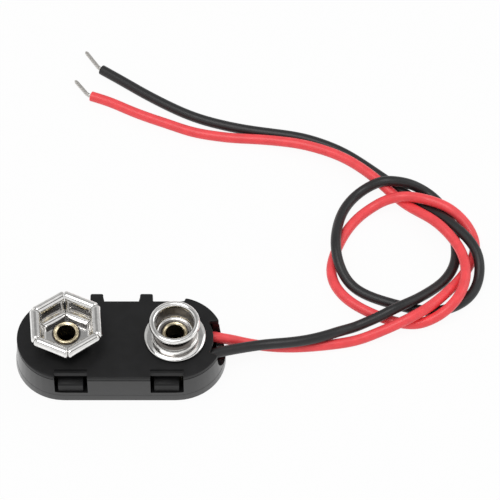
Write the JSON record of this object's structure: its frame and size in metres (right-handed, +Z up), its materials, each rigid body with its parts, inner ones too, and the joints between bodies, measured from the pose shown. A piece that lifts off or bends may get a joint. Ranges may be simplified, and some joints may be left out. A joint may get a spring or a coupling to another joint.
{
  "type": "battery snap connector",
  "caption": "Hard-shell snap connector for a block battery: hexagonal spring socket and round stud on a black two-part shell with moulded hinge, and a red and a black lead.",
  "frame": {"origin": "centre of the shell's flat underside, midway between the two snaps", "axes": "+X from the hexagonal socket to the stud and the wire exit, +Y to the moulded hinge, +Z up out of the snaps"},
  "size_m": [0.0558, 0.0519, 0.0083],
  "materials": {
    "black_plastic": "hard moulded black plastic, matt top and semi-gloss walls",
    "nickel_plate": "bright nickel plating on stamped sheet",
    "eyelet_brass": "plain brass, rolled",
    "tinned_metal": "dull tin plating",
    "solder": "satin solder",
    "red_insulation": "soft red insulation with a low sheen",
    "black_insulation": "soft black insulation with a low sheen"
  },
  "bodies": {
    "plate": {"contact_plate": "black_plastic", "hinge_strap_left": "black_plastic", "hinge_strap_right": "black_plastic", "socket_contact": "nickel_plate", "stud_contact": "nickel_plate", "socket_eyelet": "eyelet_brass", "stud_eyelet": "eyelet_brass", "socket_solder_tag": "tinned_metal", "stud_solder_tag": "tinned_metal", "socket_solder_joint": "solder", "stud_solder_joint": "solder", "red_wire": "red_insulation", "black_wire": "black_insulation", "red_inner_end": "tinned_metal", "black_inner_end": "tinned_metal", "red_far_end": "tinned_metal", "black_far_end": "tinned_metal"},
    "tray": {"base_cover": "black_plastic"}
  },
  "joints": [
    {"name": "tray_hinge", "type": "hinge", "parent": "plate", "child": "tray", "pos_m": [0, 0.00592, 0.00405], "axis": [1, 0, 0], "range_deg": [0, 170], "deforming": ["hinge_strap_left", "hinge_strap_right"]}
  ]
}
